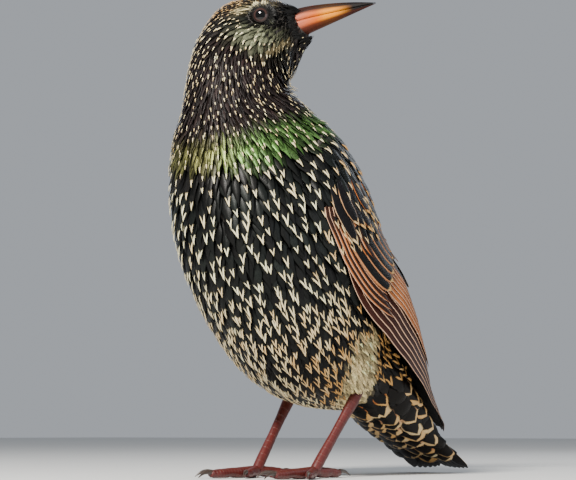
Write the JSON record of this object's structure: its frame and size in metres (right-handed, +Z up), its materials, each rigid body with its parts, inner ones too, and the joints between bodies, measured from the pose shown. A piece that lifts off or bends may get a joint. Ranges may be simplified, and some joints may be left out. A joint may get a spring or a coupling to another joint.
{
  "type": "starling",
  "caption": "Life-size starling in fresh spotted winter plumage, standing upright on both feet, head turned to its left, bill raised, tail tip resting on the floor.",
  "frame": {"origin": "On the floor, under the middle of the bounding box of the whole bird.", "axes": "+X is the bird's left, +Y points to its tail end and its breast faces -Y, +Z is up."},
  "size_m": [0.0668, 0.1372, 0.1495],
  "materials": {
    "body_feathers": "glossy black with green and bronze sheen, cream tips",
    "flight_feathers": "dark brown with buff-orange edges",
    "thigh_feathers": "soft, cream and grey",
    "leg_skin": "scaled, satin, brick red",
    "claw_horn": "polished dark horn",
    "bill_horn": "satin horn, pink to yellow to black",
    "eye": "wet gloss"
  },
  "bodies": {
    "root": {"bill_lower": "bill_horn", "bill_upper": "bill_horn", "claw_left_hind": "claw_horn", "claw_left_inner": "claw_horn", "claw_left_middle": "claw_horn", "claw_left_outer": "claw_horn", "claw_right_hind": "claw_horn", "claw_right_inner": "claw_horn", "claw_right_middle": "claw_horn", "claw_right_outer": "claw_horn", "eye_left": "eye", "eye_right": "eye", "head": "body_feathers", "neck": "body_feathers", "shank_left": "leg_skin", "shank_right": "leg_skin", "tail": "flight_feathers", "thigh_left": "thigh_feathers", "thigh_right": "thigh_feathers", "toe_left_hind": "leg_skin", "toe_left_inner": "leg_skin", "toe_left_middle": "leg_skin", "toe_left_outer": "leg_skin", "toe_right_hind": "leg_skin", "toe_right_inner": "leg_skin", "toe_right_middle": "leg_skin", "toe_right_outer": "leg_skin", "trunk": "body_feathers", "wing_left": "flight_feathers", "wing_right": "flight_feathers"}
  },
  "joints": []
}
